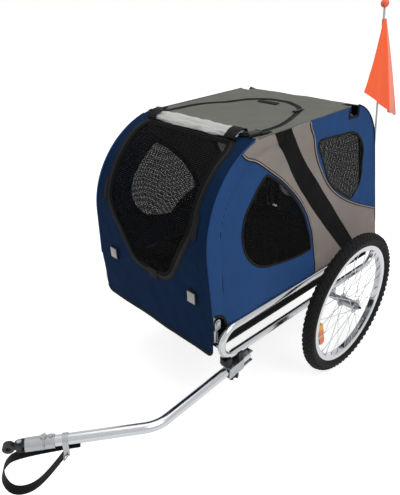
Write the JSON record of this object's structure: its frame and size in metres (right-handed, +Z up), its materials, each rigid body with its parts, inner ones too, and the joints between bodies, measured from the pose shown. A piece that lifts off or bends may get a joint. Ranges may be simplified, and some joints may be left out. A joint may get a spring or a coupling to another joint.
{
  "type": "dog bike trailer",
  "caption": "Two-wheeled bicycle trailer for a dog: cloth cabin with windows on a folding tube frame, swinging tow bar with hitch and strap, and a safety flag.",
  "frame": {"origin": "on the ground under the middle of the trailer's box, without the strap", "axes": "+X points forward to the bicycle, +Y to the trailer's left, +Z up"},
  "size_m": [1.4328, 0.7786, 1.1614],
  "materials": {
    "tyre": "matte",
    "rim_metal": "polished",
    "spoke_steel": "bright",
    "hub_metal": "polished",
    "orange_reflector": "gloss",
    "steel": "zinc plated",
    "black_plastic": "matte",
    "frame_tube": "silver",
    "black_cloth": "woven",
    "board": "matte",
    "navy_cloth": "woven",
    "blue_cloth": "woven",
    "grey_cloth": "woven",
    "window_mesh": "mesh",
    "silver_cloth": "coated",
    "white_reflector": "gloss",
    "strap_webbing": "webbing",
    "flag_cloth": "nylon",
    "pole": "fibreglass"
  },
  "bodies": {
    "chassis": {"side_loop_left": "frame_tube", "side_loop_right": "frame_tube", "cross_tubes": "frame_tube", "axle_bracket_left": "steel", "axle_bracket_right": "steel", "axle_left": "steel", "axle_right": "steel", "hinge_brackets": "frame_tube", "hinge_pins": "steel", "floor_tub": "black_cloth", "floor_board": "board", "towbar_bracket": "frame_tube", "towbar_clamps": "black_plastic", "towbar_pivot_bolt": "steel", "front_panel": "navy_cloth", "rear_panel": "navy_cloth", "roof_panel": "grey_cloth", "side_panel_left": "blue_cloth", "side_panel_right": "blue_cloth", "side_windows_left": "window_mesh", "side_windows_right": "window_mesh", "front_reflectors": "white_reflector", "rolled_cover": "silver_cloth", "cover_buckles": "black_plastic", "flag_socket": "black_plastic"},
    "wheel_left": {"tyre_left": "tyre", "rim_left": "rim_metal", "spokes_left": "spoke_steel", "hub_left": "hub_metal", "spoke_reflector_left": "orange_reflector"},
    "wheel_right": {"tyre_right": "tyre", "rim_right": "rim_metal", "spokes_right": "spoke_steel", "hub_right": "hub_metal", "spoke_reflector_right": "orange_reflector"},
    "axle_button_left": {"axle_button_left": "black_plastic"},
    "axle_button_right": {"axle_button_right": "black_plastic"},
    "towbar": {"towbar": "frame_tube", "hitch_sleeve": "steel", "hitch_sleeve_bolt": "steel", "safety_strap": "strap_webbing", "strap_hardware": "steel"},
    "towbar_knob": {"towbar_knob": "black_plastic"},
    "hitch_pin": {"hitch_pin": "steel"},
    "hitch_fork": {"hitch_fork": "steel", "hitch_fork_bolt": "steel"},
    "hitch_eye": {"hitch_eye": "steel"},
    "front_hoop": {"front_hoop": "frame_tube", "corner_joints": "black_plastic"},
    "rear_hoop": {"rear_hoop": "frame_tube", "rear_latches": "black_plastic", "corner_sleeves": "black_plastic"},
    "front_links": {"front_links": "frame_tube"},
    "rear_links": {"rear_links": "frame_tube"},
    "front_door": {"front_door": "black_cloth"},
    "rear_door": {"rear_door": "black_cloth"},
    "roof_flap": {"roof_flap": "grey_cloth"},
    "flag": {"flag_pole": "pole", "flag": "flag_cloth"}
  },
  "joints": [
    {"name": "wheel_left_spin", "type": "hinge", "parent": "chassis", "child": "wheel_left", "pos_m": [-0.3911, 0.344, 0.248], "axis": [0, 1, 0], "continuous": true},
    {"name": "axle_button_left_press", "type": "slide", "parent": "chassis", "child": "axle_button_left", "axis": [0, -1, 0], "range_m": [0, 0.004], "stiffness_N_per_m": 300},
    {"name": "wheel_right_spin", "type": "hinge", "parent": "chassis", "child": "wheel_right", "pos_m": [-0.3911, -0.344, 0.248], "axis": [0, 1, 0], "continuous": true},
    {"name": "axle_button_right_press", "type": "slide", "parent": "chassis", "child": "axle_button_right", "axis": [0, 1, 0], "range_m": [0, 0.004], "stiffness_N_per_m": 300},
    {"name": "towbar_swing", "type": "hinge", "parent": "chassis", "child": "towbar", "pos_m": [0.0489, 0.266, 0.2257], "axis": [0, 0, 1], "range_deg": [-80, 0]},
    {"name": "towbar_knob_turn", "type": "hinge", "parent": "chassis", "child": "towbar_knob", "pos_m": [0.10675, 0.27005, 0.1957], "axis": [0, 0, 1], "range_deg": [0, 360]},
    {"name": "hitch_pin_pull", "type": "slide", "parent": "towbar", "child": "hitch_pin", "axis": [0, 0, 1], "range_m": [0, 0.045]},
    {"name": "hitch_swivel", "type": "hinge", "parent": "towbar", "child": "hitch_fork", "pos_m": [0.66005, 0.11773, 0.2257], "axis": [0.8339, -0.5519, 0], "range_deg": [-60, 60]},
    {"name": "hitch_eye_turn", "type": "hinge", "parent": "hitch_fork", "child": "hitch_eye", "pos_m": [0.67114, 0.11039, 0.2257], "axis": [0, 0, 1], "range_deg": [-40, 40]},
    {"name": "front_fold", "type": "hinge", "parent": "chassis", "child": "front_hoop", "pos_m": [0.15275, 0, 0.392], "axis": [0, -1, 0], "range_deg": [0, 70], "deforming": ["front_panel", "front_door", "rear_panel", "rear_door", "roof_panel", "roof_flap", "side_panel_left", "side_panel_right", "side_windows_left", "side_windows_right", "rolled_cover", "cover_buckles"]},
    {"name": "rear_fold", "type": "hinge", "parent": "chassis", "child": "rear_hoop", "pos_m": [-0.65875, 0, 0.392], "axis": [0, 1, 0], "range_deg": [0, 56]},
    {"name": "front_link_fold", "type": "hinge", "parent": "front_hoop", "child": "front_links", "pos_m": [-0.03559, 0, 0.82609], "axis": [0, -1, 0], "range_deg": [0, 112]},
    {"name": "rear_link_fold", "type": "hinge", "parent": "front_links", "child": "rear_links", "pos_m": [-0.23333, 0, 0.83706], "axis": [0, 1, 0], "range_deg": [0, 170]},
    {"name": "front_door_open", "type": "hinge", "parent": "chassis", "child": "front_door", "pos_m": [0.01779, 0, 0.842], "axis": [0, 1, 0], "range_deg": [-80, 0]},
    {"name": "rear_door_open", "type": "hinge", "parent": "chassis", "child": "rear_door", "pos_m": [-0.60553, 0, 0.77], "axis": [0, -1, 0], "range_deg": [-90, 0]},
    {"name": "roof_flap_open", "type": "hinge", "parent": "chassis", "child": "roof_flap", "pos_m": [-0.03911, 0, 0.85413], "axis": [0, -1, 0], "range_deg": [-100, 0]},
    {"name": "flag_lift", "type": "slide", "parent": "chassis", "child": "flag", "axis": [0.1822, 0, 0.9833], "range_m": [0, 0.09]}
  ],
  "couplings": [
    {"joint": "rear_fold", "follows": "front_fold", "ratio": 0.8},
    {"joint": "front_link_fold", "follows": "front_fold", "ratio": 1.6},
    {"joint": "rear_link_fold", "follows": "front_fold", "ratio": 2.4285}
  ]
}
